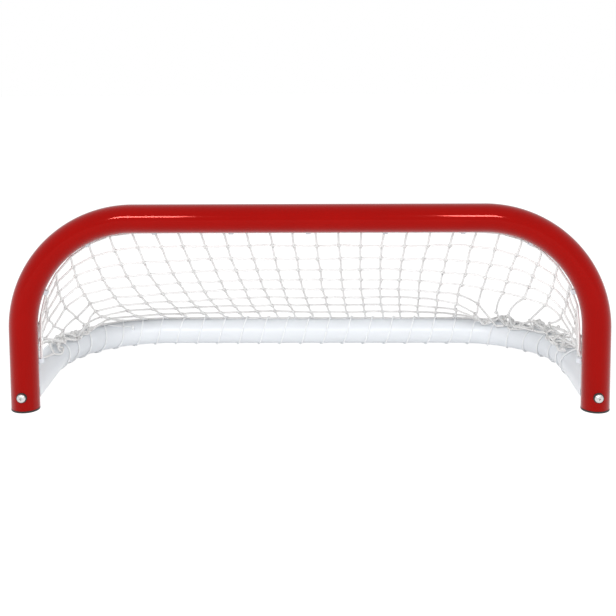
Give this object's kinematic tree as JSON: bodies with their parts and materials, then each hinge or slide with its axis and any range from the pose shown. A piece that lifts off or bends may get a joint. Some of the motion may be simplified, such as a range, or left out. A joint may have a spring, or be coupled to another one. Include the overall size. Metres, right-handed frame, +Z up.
{
  "type": "pond hockey goal",
  "caption": "Low free-standing pond hockey goal: round-cornered red tube arch bolted to a white U-shaped floor tube, with a white square-mesh net hung from the arch and laced to the base.",
  "frame": {"origin": "on the floor, in the middle of the goal's outline seen from above", "axes": "+Z up, +X along the crossbar, -Y out of the goal mouth towards the player, +Y towards the back of the net"},
  "size_m": [1.011, 0.439, 0.3508],
  "materials": {
    "red_paint": "glossy red powder coat",
    "white_paint": "satin white powder coat",
    "zinc_steel": "bright zinc plating",
    "black_plastic": "moulded black polyethylene",
    "white_nylon": "moulded white nylon",
    "white_cord": "twisted white polyester cord"
  },
  "bodies": {
    "root": {"front_arch": "red_paint", "base_frame": "white_paint", "foot_cap_left": "black_plastic", "foot_cap_right": "black_plastic", "post_bolt_left": "zinc_steel", "post_bolt_right": "zinc_steel", "saddle_washer_left": "black_plastic", "saddle_washer_right": "black_plastic", "end_plug_left": "zinc_steel", "end_plug_right": "zinc_steel", "plug_nut_left": "zinc_steel", "plug_nut_right": "zinc_steel", "net_clip_01": "white_nylon", "net_clip_02": "white_nylon", "net_clip_03": "white_nylon", "net_clip_04": "white_nylon", "net_clip_05": "white_nylon", "net_clip_06": "white_nylon", "net_clip_07": "white_nylon", "net_clip_08": "white_nylon", "net_clip_09": "white_nylon", "net_clip_10": "white_nylon", "net_clip_11": "white_nylon", "net": "white_cord", "net_lacing": "white_cord"}
  },
  "joints": []
}
